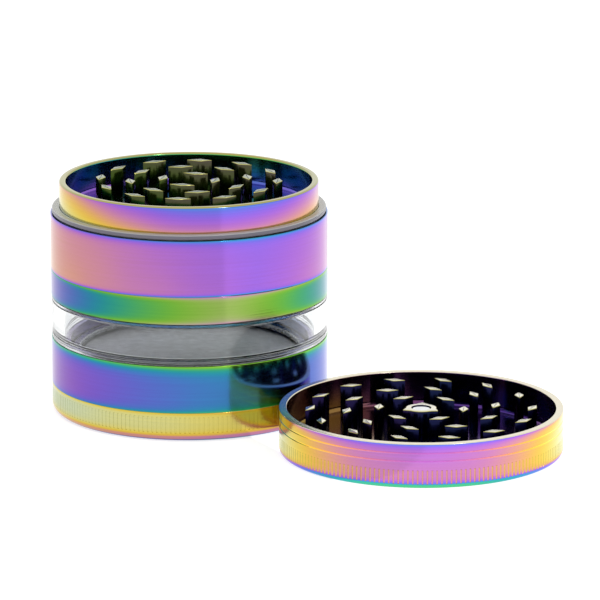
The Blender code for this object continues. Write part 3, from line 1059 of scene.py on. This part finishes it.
    shape: BandShape = field(default_factory=BandShape)
    low: float = LEVELS.chamber_low
    shoulder: float = LEVELS.ring_low - PIECE_GAP
    lip_top: float = LEVELS.lip_top
    lip_radius: float = 29.45 * MM
    lip_wall: float = 1.55 * MM
    lip_round: float = 0.45 * MM
    depth: float = 6.5 * MM
    floor_thickness: float = 2.0 * MM
    lower_radius: float = 26.8 * MM
    hub_radius: float = 4.6 * MM
    hub_bottom: float = 43.5 * MM
    magnet_radius: float = 2.5 * MM
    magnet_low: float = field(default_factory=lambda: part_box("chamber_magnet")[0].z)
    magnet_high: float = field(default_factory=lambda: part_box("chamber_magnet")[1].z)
    tooth_length: float = 5.8 * MM
    tooth_width: float = 2.3 * MM
    tooth_drop: float = 0.0
    ring_gap: float = 0.08 * MM
    ring_reach: float = 1.7 * MM
    ring_lift: float = 0.05 * MM
    ring_foot: float = 0.40 * MM
    ring_undercut: float = 0.6 * MM
    ring_soft: float = 0.35 * MM
    hole_radius: float = 1.7 * MM
    hole_sides: int = 40
    hole_overshoot: float = 0.5 * MM
    teeth: Rings = (
        (6.1 * MM, 4, math.radians(22.5), 0.0),
        (13.4 * MM, 8, 0.0, 0.0),
        (20.2 * MM, 12, 0.0, 0.0),
    )
    holes: Rings = (
        (9.7 * MM, 6, 0.0, 0.0),
        (16.8 * MM, 10, 0.0, 0.0),
        (23.9 * MM, 14, 0.0, 0.0),
    )

    @property
    def floor(self) -> float:
        """The height of the toothed floor."""
        return self.lip_top - self.depth

    def build(self, bench: Bench) -> dict[str, bpy.types.Object]:
        """Turns the band, drills its floor, and adds teeth, magnet and friction ring."""
        body = bench.turn("grinding_chamber_looks", self._outline(), FINE_SEGMENTS)
        bench.combine(body, self._drill(bench), "DIFFERENCE")
        top = self.lip_top - self.tooth_drop
        foot = self.floor - TOOTH_ROOT
        post = bench.post("chamber_tooth", self.tooth_length, self.tooth_width, foot, top)
        start = self.low - PIECE_GAP + self.shape.thread_drop + HALF_PITCH
        ridge = Thread(self.shape.bore_radius, -1, start).build(bench, "chamber_bore_ridge")
        bench.join(body, [ridge, *bench.rings(post, self.teeth)])
        soft = 0.15 * MM
        disc = [(0.0, self.magnet_low), (self.magnet_radius, self.magnet_low)]
        disc += arc((self.magnet_radius - soft, self.magnet_high - soft), soft, 0.0, 90.0, 3)
        disc += [(0.0, self.magnet_high)]
        magnet = bench.turn("chamber_magnet_looks", disc, MAGNET_SEGMENTS)
        return {"body": body, "magnet": magnet, "ring": self._friction_ring(bench)}

    def _outline(self) -> Outline:
        """Returns the band's outline."""
        shape, lip = self.shape, self.lip_round
        inner = self.lip_radius - self.lip_wall
        fillet = 0.8 * MM
        pocket = self.magnet_radius + 0.15 * MM
        pocket_floor = self.magnet_low - 0.1 * MM
        bore_end = self.low - PIECE_GAP + shape.neck_height + shape.bore_room
        outline = [(shape.bore_radius, self.low)]
        outline += shape.side(self.low - SKIRT_DROP, self.shoulder)
        outline += [(self.lip_radius, self.shoulder)]
        outline += arc((self.lip_radius - lip, self.lip_top - lip), lip, 0.0, 90.0, 4)
        outline += arc((inner + lip, self.lip_top - lip), lip, 90.0, 180.0, 4)
        outline += arc((inner - fillet, self.floor + fillet), fillet, 0.0, -90.0, 5)
        return outline + [
            (pocket, self.floor),
            (pocket, pocket_floor),
            (0.0, pocket_floor),
            (0.0, self.hub_bottom),
            (self.hub_radius, self.hub_bottom),
            (self.hub_radius, self.floor - self.floor_thickness),
            (self.lower_radius, self.floor - self.floor_thickness),
            (self.lower_radius, bore_end),
            (shape.bore_radius, bore_end),
        ]

    def _drill(self, bench: Bench) -> bpy.types.Object:
        """Makes one tool of all the drop holes."""
        low = self.floor - self.floor_thickness - self.hole_overshoot
        high = self.floor + self.hole_overshoot
        bench.clear()
        bpy.ops.mesh.primitive_cylinder_add(
            vertices=self.hole_sides,
            radius=self.hole_radius,
            depth=high - low,
            location=(0.0, 0.0, (low + high) / 2.0),
        )
        drill = bpy.context.object
        bench.settle(drill)
        drills = bench.rings(drill, self.holes)
        bench.join(drills[0], drills[1:])
        return drills[0]

    def _friction_ring(self, bench: Bench) -> bpy.types.Object:
        """Turns the slippery ring that the lid's skirt runs on, undercut at its foot."""
        inner, outer = self.lip_radius + self.ring_gap, self.lip_radius + self.ring_reach
        low, high = self.shoulder + self.ring_lift, LEVELS.ring_high
        foot, soft = self.shoulder + self.ring_foot, self.ring_soft
        undercut = outer - self.ring_undercut
        ring = [(inner, low), (undercut, low), (undercut, foot), (outer, foot)]
        ring += arc((outer - soft, high - soft), soft, 0.0, 90.0, 6)
        return bench.turn("friction_ring_looks", ring + [(inner, high)], FINE_SEGMENTS)

    def _tooth(self, middle: Vector, _: Vector) -> bool:
        """Tells the teeth's faces."""
        distance = math.hypot(middle.x, middle.y)
        return distance < self.lip_radius - self.lip_wall - MM and middle.z > self.floor + 0.05 * MM

    def _tip(self, middle: Vector, normal: Vector) -> bool:
        """Tells a tooth's flat tip."""
        return self._tooth(middle, normal) and normal.z > FLAT_TIP

    def _highlight_edge_faces(self, middle: Vector, normal: Vector) -> bool:
        """Tells the softened edge round a tooth's tip, which takes a painted highlight."""
        high = middle.z > self.lip_top - TIP_BAND
        return self._tooth(middle, normal) and high and STEEP_SIDE < normal.z <= FLAT_TIP

    def _inside(self, middle: Vector, _: Vector) -> bool:
        """Tells the toothed space's faces."""
        wall = self.lip_radius - self.lip_wall + 0.1 * MM
        return math.hypot(middle.x, middle.y) < wall and middle.z > self.floor - 0.3 * MM

    def _lip(self, middle: Vector, _: Vector) -> bool:
        """Tells the lip's outer side and rim."""
        wall = self.lip_radius - self.lip_wall + 0.02 * MM
        return middle.z > self.shoulder and math.hypot(middle.x, middle.y) > wall

    def _rim(self, middle: Vector, normal: Vector) -> bool:
        """Tells the lip's rounded rim."""
        return self._lip(middle, normal) and middle.z > self.lip_top - TIP_BAND

    def _band(self, middle: Vector, normal: Vector) -> bool:
        """Tells the band's outer side."""
        return self.shape.outside(middle, normal) and middle.z < self.shoulder + 0.01 * MM

    def dress(
        self, bench: Bench, pieces: dict[str, bpy.types.Object], paints: Paints
    ) -> None:
        """Gives the chamber, its magnet and its friction ring their finishes and places."""
        # The inside, tooth and inner coats paint shade into the bore and toothed space; the tip-edge
        # coat is a painted highlight.
        coats = [
            (paints["inner"], always),
            (paints["chamber_inside"], self._inside),
            (paints["lip"], self._lip),
            (paints["lip_rim"], self._rim),
            (paints["main"], self._band),
            (paints["chamber_tooth"], self._tooth),
            (paints["tip_edge"], self._highlight_edge_faces),
            (paints["chamber_tip"], self._tip),
        ]
        bench.paint(pieces["body"], coats)
        bench.paint(pieces["magnet"], [(paints["magnet"], always)])
        # Painted light and shade: the ring's upward faces take a lighter copy of the nylon, its
        # sides a darker one.
        coats = [(paints["nylon_painted_shade_side"], always), (paints["nylon_painted_light_top"], faces_up)]
        bench.paint(pieces["ring"], coats)
        for piece in pieces.values():
            bench.smooth(piece)
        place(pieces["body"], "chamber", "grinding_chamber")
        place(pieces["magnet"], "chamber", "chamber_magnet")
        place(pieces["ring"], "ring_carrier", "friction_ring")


@dataclass
class Lid:
    """The lid, upside down: fluted and grooved skirt, teeth, boss and magnet."""

    centre: float = LEVELS.lid_x
    radius: float = LEVELS.body_radius
    height: float = LEVELS.lid_height
    edge_fillet: float = 0.8 * MM
    rim: float = 0.25 * MM
    skirt: float = 29.8 * MM
    cap: float = 2.2 * MM
    fillet: float = 1.2 * MM
    groove_width: float = 0.35 * MM
    groove_depth: float = 0.14 * MM
    grooves: tuple[float, ...] = (6.1 * MM, 7.9 * MM)
    flute_low: float = 1.0 * MM
    flute_high: float = 4.1 * MM
    flute_depth: float = 0.05 * MM
    tooth_length: float = 5.0 * MM
    tooth_width: float = 2.2 * MM
    tooth_drop: float = 0.4 * MM
    boss_radius: float = 3.4 * MM
    cusp_radius: float = 4.5 * MM
    cusp_half_angle: float = math.radians(22.5)
    boss_drop: float = 0.4 * MM
    magnet_radius: float = 2.1 * MM
    pocket_gap: float = 0.12 * MM
    pocket_cut: float = 4.0 * MM
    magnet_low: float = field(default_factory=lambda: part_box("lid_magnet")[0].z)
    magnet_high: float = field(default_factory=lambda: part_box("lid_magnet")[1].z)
    teeth: Rings = (
        (9.4 * MM, 6, math.radians(29.4), 0.0),
        (16.7 * MM, 10, math.radians(7.3), math.radians(-25.0)),
        (24.6 * MM, 14, math.radians(9.9), math.radians(-25.0)),
    )

    def build(self, bench: Bench) -> dict[str, bpy.types.Object]:
        """Turns the lid, sinks its flutes, and adds teeth, boss and magnet."""
        lid = bench.turn("lid_looks", self._outline(), FLUTES * FLUTE_COLUMNS, self.centre)
        bench.flute(
            lid, self.radius, self.flute_low, self.flute_high, self.flute_depth, self.centre
        )
        top = self.height - self.tooth_drop
        foot = self.cap - TOOTH_ROOT
        post = bench.post("lid_tooth", self.tooth_length, self.tooth_width, foot, top)
        bench.join(lid, [*bench.rings(post, self.teeth, self.centre), self._boss(bench)])
        soft = 0.25 * MM
        disc = [(0.0, self.magnet_low), (self.magnet_radius, self.magnet_low)]
        disc += arc((self.magnet_radius - soft, self.magnet_high - soft), soft, 0.0, 90.0, 4)
        disc += [(self.magnet_radius * 0.5, self.magnet_high), (0.0, self.magnet_high)]
        magnet = bench.turn("lid_magnet_looks", disc, MAGNET_SEGMENTS, self.centre)
        return {"lid": lid, "magnet": magnet}

    def _outline(self) -> Outline:
        """Returns the lid's outline."""
        edge = self.edge_fillet
        outline = [(0.0, 0.0)]
        outline += arc((self.radius - edge, edge), edge, -90.0, 0.0, 6)
        outline += [(self.radius, self.flute_low), (self.radius, self.flute_high)]
        for groove in self.grooves:
            outline += [
                (self.radius, groove - self.groove_width / 2.0),
                (self.radius - self.groove_depth, groove - 0.04 * MM),
                (self.radius - self.groove_depth, groove + 0.04 * MM),
                (self.radius, groove + self.groove_width / 2.0),
            ]
        outline += arc((self.radius - self.rim, self.height - self.rim), self.rim, 0.0, 90.0, 4)
        outline += arc((self.skirt + self.rim, self.height - self.rim), self.rim, 90.0, 180.0, 4)
        corner = (self.skirt - self.fillet, self.cap + self.fillet)
        outline += arc(corner, self.fillet, 0.0, -90.0, 6)
        return outline + [(0.0, self.cap)]

    def _boss(self, bench: Bench) -> bpy.types.Object:
        """Models the boss round the magnet, drawn out into three pointed cusps."""
        low, high = self.cap - TOOTH_ROOT, self.height - self.boss_drop
        bench.clear()
        bpy.ops.mesh.primitive_cylinder_add(
            vertices=BOSS_SIDES,
            radius=self.boss_radius,
            depth=high - low,
            location=(0.0, 0.0, (low + high) / 2.0),
        )
        boss = bpy.context.object
        boss.name = "lid_boss"
        bench.settle(boss)
        bpy.ops.object.mode_set(mode="EDIT")
        column = TURN / BOSS_SIDES
        for step in range(math.ceil(self.cusp_half_angle / column)):
            self._draw_out(bench, boss, step * column)
        bench.select(boss, "FACE", lambda middle, _: middle.z > high - WELD)
        bpy.ops.mesh.bevel(offset=BOSS_BEVEL, segments=2)
        bpy.ops.object.mode_set(mode="OBJECT")
        bpy.ops.mesh.primitive_cylinder_add(
            vertices=MAGNET_SEGMENTS,
            radius=self.magnet_radius + self.pocket_gap,
            depth=self.pocket_cut,
            location=(0.0, 0.0, high),
        )
        bench.combine(boss, bpy.context.object, "DIFFERENCE")
        boss.location.x = self.centre
        bench.settle(boss)
        return boss

    def _draw_out(self, bench: Bench, boss: bpy.types.Object, offset: float) -> None:
        """Pulls the boss's side out at one angle to either side of each of its three cusps."""

        def at_offset(middle: Vector, along: Vector) -> bool:
            """Tells an upright edge at that angle from a cusp."""
            angle = math.atan2(middle.y, middle.x) % (TURN / 3.0)
            near = min(angle, TURN / 3.0 - angle)
            return abs(along.z) > MM and abs(near - offset) < math.radians(1.0)

        reach = 1.0 - offset / self.cusp_half_angle
        scale = 1.0 + (self.cusp_radius / self.boss_radius - 1.0) * reach**1.5
        bench.select(boss, "EDGE", at_offset)
        bpy.ops.transform.resize(value=(scale, scale, 1.0), center_override=(0.0, 0.0, 0.0))

    def _distance(self, middle: Vector) -> float:
        """Returns a point's distance from the lid's axis."""
        return math.hypot(middle.x - self.centre, middle.y)

    def _outside(self, middle: Vector, _: Vector) -> bool:
        """Tells the skirt's outer side, rim and underside edge."""
        distance = self._distance(middle)
        return distance > self.skirt + 0.05 * MM and middle.z > 0.02 * MM

    def _slot(self, middle: Vector, _: Vector) -> bool:
        """Tells a flute's floor and sides."""
        low, high = self.flute_low - WELD, self.flute_high + WELD
        inside = self.skirt < self._distance(middle) < self.radius - 0.02 * MM
        return inside and low < middle.z < high

    def _groove(self, middle: Vector, _: Vector) -> bool:
        """Tells a groove's faces."""
        distance = self._distance(middle)
        near = min(abs(middle.z - groove) for groove in self.grooves)
        return self.skirt < distance < self.radius - 0.05 * MM and near < self.groove_width

    def _rim(self, middle: Vector, normal: Vector) -> bool:
        """Tells the skirt's rounded rim."""
        return self._distance(middle) > self.skirt - 0.01 * MM and middle.z > self.height - 0.2 * MM

    def _post(self, middle: Vector, _: Vector) -> bool:
        """Tells the faces of the teeth and the boss."""
        return self._distance(middle) < self.skirt - 1.4 * MM and middle.z > self.cap + 0.05 * MM

    def _tip(self, middle: Vector, normal: Vector) -> bool:
        """Tells the flat tips of teeth and boss."""
        return self._post(middle, normal) and normal.z > FLAT_TIP

    def _highlight_edge_faces(self, middle: Vector, normal: Vector) -> bool:
        """Tells the softened edge round a tip, which takes a painted highlight."""
        high = middle.z > self.height - self.tooth_drop - TIP_BAND
        return self._post(middle, normal) and high and STEEP_SIDE < normal.z <= FLAT_TIP

    def dress(
        self, bench: Bench, pieces: dict[str, bpy.types.Object], paints: Paints
    ) -> None:
        """Gives the lid and its magnet their finishes and places."""
        # The inside and tooth coats paint shade into the toothed space; the tip-edge coat is a
        # painted highlight.
        coats = [
            (paints["lid_inside"], always),
            (paints["lid"], self._outside),
            (paints["slot"], self._slot),
            (paints["groove"], self._groove),
            (paints["lid_rim"], self._rim),
            (paints["lid_tooth"], self._post),
            (paints["tip_edge"], self._highlight_edge_faces),
            (paints["lid_tip"], self._tip),
        ]
        bench.paint(pieces["lid"], coats)
        bench.paint(pieces["magnet"], [(paints["magnet"], always)])
        for piece in pieces.values():
            bench.smooth(piece)
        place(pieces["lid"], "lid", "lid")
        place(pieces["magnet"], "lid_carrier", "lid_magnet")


# Studio


@dataclass
class Studio:
    """White sweep, soft white light and the camera."""

    camera_place: tuple[float, float, float] = (0.6329, -0.8408, 0.2870)
    camera_down: float = math.radians(76.008)
    camera_round: float = math.radians(35.598)
    lens: float = 285.0
    sensor: float = 36.0
    floor_size: float = 6.0
    sky: float = 1.15
    floor_light: float = 0.70
    card_light: float = 0.22
    card_edge: float = 0.733
    glint_place: tuple[float, float, float] = (0.88, -0.35, 0.62)
    glint_size: float = 0.12
    glint_power: float = 0.9

    def build(self, bench: Bench) -> None:
        """Sets up floor, world, lights and camera."""
        scene = bpy.context.scene
        scene.view_settings.view_transform = "Standard"
        scene.view_settings.look = "None"
        bench.clear()
        bpy.ops.mesh.primitive_plane_add(size=self.floor_size, location=(0.0, 0.0, 0.0))
        floor = bpy.context.object
        floor.name = "sweep"
        floor.data.materials.append(self._floor_finish())
        self._world(scene)
        self._glint()
        turned = (self.camera_down, 0.0, self.camera_round)
        bpy.ops.object.camera_add(location=self.camera_place, rotation=turned)
        camera = bpy.context.object
        camera.data.lens = self.lens
        camera.data.sensor_width = self.sensor
        camera.data.clip_end = 20.0
        scene.camera = camera

    def _floor_finish(self) -> bpy.types.Material:
        """Makes the white sweep's finish, glowing evenly, with a painted pool of light glowing
        brighter on the stack's right-hand side.
        """
        graph = Graph("sweep_white")
        across, _, _ = graph.place()
        # The emission glows brighter past the card edge: a painted pool of light that the metal
        # reflects.
        light = across.over(self.card_edge) * self.card_light + self.floor_light
        return graph.principled(
            {
                "Base Color": (0.45, 0.45, 0.45, 1.0),
                "Roughness": 1.0,
                "Specular IOR Level": 0.0,
                "Emission Color": graph.grey(light),
                "Emission Strength": 1.0,
            }
        )

    def _glint(self) -> None:
        """Adds the small lamp that glints on rounded edges."""
        bpy.ops.object.light_add(type="AREA", location=self.glint_place)
        lamp = bpy.context.object
        lamp.rotation_euler = Vector(self.glint_place).to_track_quat("Z", "Y").to_euler()
        lamp.data.size = self.glint_size
        lamp.data.energy = self.glint_power

    def _world(self, scene: bpy.types.Scene) -> None:
        """Fills the world with even white light."""
        world = bpy.data.worlds.new("soft_white")
        scene.world = world
        world.use_nodes = True
        background = world.node_tree.nodes["Background"]
        background.inputs["Color"].default_value = (1.0, 1.0, 1.0, 1.0)
        background.inputs["Strength"].default_value = self.sky


def band_finishes(lid_x: float) -> dict[str, FilmFinish]:
    """Returns the outer bands' film finishes, their paths in nanometres."""
    return {
        "lip": FilmFinish(
            "lip_film",
            crest=840.0,
            left=620.0,
            right=740.0,
            low=47.0 * MM,
            high=LEVELS.lip_top,
            ease=2.2,
            slope=140.0,
            low_shift=-150.0,
            low_reach=0.3 * MM,
            high_shift=60.0,
        ),
        "main": FilmFinish(
            "main_film",
            crest=840.0,
            left=730.0,
            right=790.0,
            low=LEVELS.chamber_low,
            high=LEVELS.ring_low - PIECE_GAP,
            crest_at=0.75,
            ease=1.2,
            slope=20.0,
            low_shift=150.0,
            low_reach=0.25 * MM,
            high_shift=130.0,
            high_reach=0.6 * MM,
        ),
        "collar": FilmFinish(
            "collar_film",
            crest=1150.0,
            left=860.0,
            right=960.0,
            low=LEVELS.seal_high + PIECE_GAP,
            high=33.1 * MM,
            gain=0.65,
            low_shift=100.0,
            low_reach=0.6 * MM,
            high_shift=150.0,
        ),
        "storage": FilmFinish(
            "storage_film",
            crest=930.0,
            left=820.0,
            right=890.0,
            low=6.6 * MM,
            high=LEVELS.seal_low - PIECE_GAP,
            gain=0.8,
            low_shift=110.0,
            low_reach=0.6 * MM,
            high_shift=180.0,
            high_reach=1.0 * MM,
        ),
        "base": FilmFinish(
            "base_film",
            crest=605.0,
            left=545.0,
            right=600.0,
            low=1.2 * MM,
            high=LEVELS.storage_low - PIECE_GAP,
            ease=1.2,
            low_shift=160.0,
            low_reach=0.6 * MM,
            high_shift=70.0,
            high_reach=0.3 * MM,
        ),
        "lid": FilmFinish(
            "lid_film_painted_light",
            crest=790.0,
            left=560.0,
            right=560.0,
            low=0.8 * MM,
            high=LEVELS.lid_height,
            crest_at=0.5,
            ease=3.0,
            slope=30.0,
            # gain 1.15 is painted light: it brightens the lid band's colour past its film colour
            gain=1.15,
            low_shift=250.0,
            low_reach=0.45 * MM,
            high_shift=150.0,
            high_reach=0.6 * MM,
            centre_x=lid_x,
        ),
        "groove": FilmFinish(
            "groove_film_painted_light",
            crest=790.0,
            left=580.0,
            right=580.0,
            crest_at=0.5,
            ease=2.0,
            # gain 1.6 is painted light that lifts the shade in the grooves
            gain=1.6,
            centre_x=lid_x,
        ),
        "lip_rim": FilmFinish("lip_rim_film", crest=600.0, left=580.0, right=580.0, gain=0.6),
        "slot": FilmFinish(
            "slot_film",
            crest=740.0,
            left=580.0,
            right=580.0,
            crest_at=0.5,
            ease=2.0,
            centre_x=lid_x,
        ),
    }


def painted_shade_inner_finishes(lid_x: float) -> dict[str, FilmFinish]:
    """Returns the film finishes of threads, bores, toothed floors and teeth, with low gains that
    paint shade into them.
    """
    return {
        "inner": FilmFinish(
            "inner_film_painted_shade",
            crest=980.0,
            left=860.0,
            right=900.0,
            slope=120.0,
            drift=70.0,
            gain=0.5,
        ),
        "chamber_inside": FilmFinish(
            "chamber_inside_painted_shade_film",
            crest=960.0,
            left=900.0,
            right=960.0,
            low=46.7 * MM,
            high=LEVELS.lip_top,
            slope=190.0,
            drift=60.0,
            gain=0.8,
        ),
        "chamber_tooth": FilmFinish(
            "chamber_tooth_painted_shade_film",
            crest=1150.0,
            left=1100.0,
            right=1150.0,
            low=46.7 * MM,
            high=LEVELS.lip_top,
            slope=100.0,
            drift=40.0,
            gain=0.14,
        ),
        "lid_inside": FilmFinish(
            "lid_inside_painted_shade_film",
            crest=850.0,
            left=640.0,
            right=840.0,
            drift=90.0,
            gain=0.35,
            centre_x=lid_x,
        ),
        "lid_tooth": FilmFinish(
            "lid_tooth_painted_shade_film",
            crest=900.0,
            left=860.0,
            right=900.0,
            drift=30.0,
            gain=0.08,
            centre_x=lid_x,
        ),
    }


def make_paints() -> Paints:
    """Makes every finish that the pieces use."""
    lid_x = LEVELS.lid_x
    finishes = {
        **band_finishes(lid_x),
        **painted_shade_inner_finishes(lid_x),
        "lid_rim": PlainFinish("lid_rim_sheen", "D8D0B8", roughness=0.2),
        "chamber_tip": PlainFinish("chamber_tip_sheen", "6E7C66", roughness=0.22, second="98A088"),
        "lid_tip": PlainFinish("lid_tip_sheen", "D8D4C0", roughness=0.22),
        # Painted highlight on the teeth's softened tip edges
        "tip_edge": PlainFinish("tip_edge_painted_highlight", "B4AE64", roughness=0.2),
        "steel": PlainFinish("ring_steel", "A0A2A6", roughness=0.28),
        "magnet": PlainFinish("magnet_nickel", "D8DADC", roughness=0.12),
        "weave": WeaveFinish("woven_wire"),
        "window": ClearFinish("clear_window", "F4F6F6", roughness=0.02, transmission=1.0),
        "seal": ClearFinish("clear_seal", "F0F2F4", roughness=0.05, transmission=1.0, ior=1.41),
        # Lit and shaded copies of the ring's nylon: a painted light top and a painted shade side
        "nylon_painted_light_top": ClearFinish("nylon_painted_light_top", "B4B6B2", roughness=0.25, transmission=0.3, ior=1.50),
        "nylon_painted_shade_side": ClearFinish(
            "nylon_painted_shade_side", "706C7A", roughness=0.30, transmission=0.3, ior=1.50
        ),
    }
    return {name: finish.make() for name, finish in finishes.items()}


def main() -> None:
    """Builds every piece, dresses it, and sets up the studio."""
    logging.basicConfig(level=logging.INFO, format="%(name)s: %(message)s")
    bench = Bench()
    paints = make_paints()
    cup = BaseCup()
    cup.dress(bench, cup.build(bench), paints)
    storage = StorageBody()
    storage.dress(bench, storage.build(bench), paints)
    screen = Screen()
    screen.dress(bench, *screen.build(bench), paints)
    window = Window()
    window.dress(bench, window.build(bench), paints)
    collar = UpperCollar()
    collar.dress(bench, collar.build(bench), paints)
    chamber = GrindingChamber()
    chamber.dress(bench, chamber.build(bench), paints)
    lid = Lid()
    lid.dress(bench, lid.build(bench), paints)
    Studio().build(bench)


if __name__ == "__main__":
    main()
